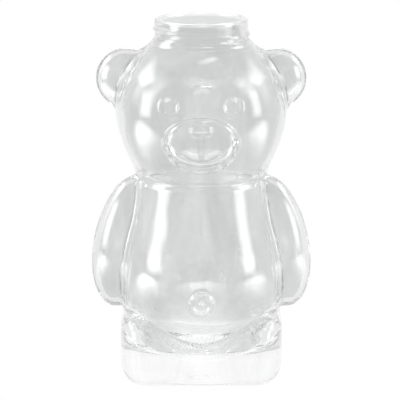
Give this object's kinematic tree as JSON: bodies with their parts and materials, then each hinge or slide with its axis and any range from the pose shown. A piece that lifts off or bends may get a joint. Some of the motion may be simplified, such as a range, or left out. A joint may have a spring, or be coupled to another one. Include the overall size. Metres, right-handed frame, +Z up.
{
  "type": "bear-shaped glass bottle cup",
  "caption": "Hollow drinking bottle of clear glass shaped as a bear, with round ears, a raised face, arms, stubby legs on a thick base and an open screw neck for a cap.",
  "frame": {"origin": "on the surface it stands on, under the axis of the neck, head and body", "axes": "+Z up along the neck's axis, -Y towards the side with the face, +X to the right as seen from the front"},
  "size_m": [0.0844, 0.0765, 0.14],
  "materials": {
    "clear_glass": "clear moulded glass, glossy and fire-polished, slightly uneven"
  },
  "bodies": {
    "root": {"neck": "clear_glass", "head": "clear_glass", "left_ear": "clear_glass", "right_ear": "clear_glass", "left_eye": "clear_glass", "right_eye": "clear_glass", "muzzle": "clear_glass", "nose": "clear_glass", "body": "clear_glass", "left_arm": "clear_glass", "right_arm": "clear_glass", "left_leg": "clear_glass", "right_leg": "clear_glass", "navel": "clear_glass", "tail": "clear_glass"}
  },
  "joints": []
}
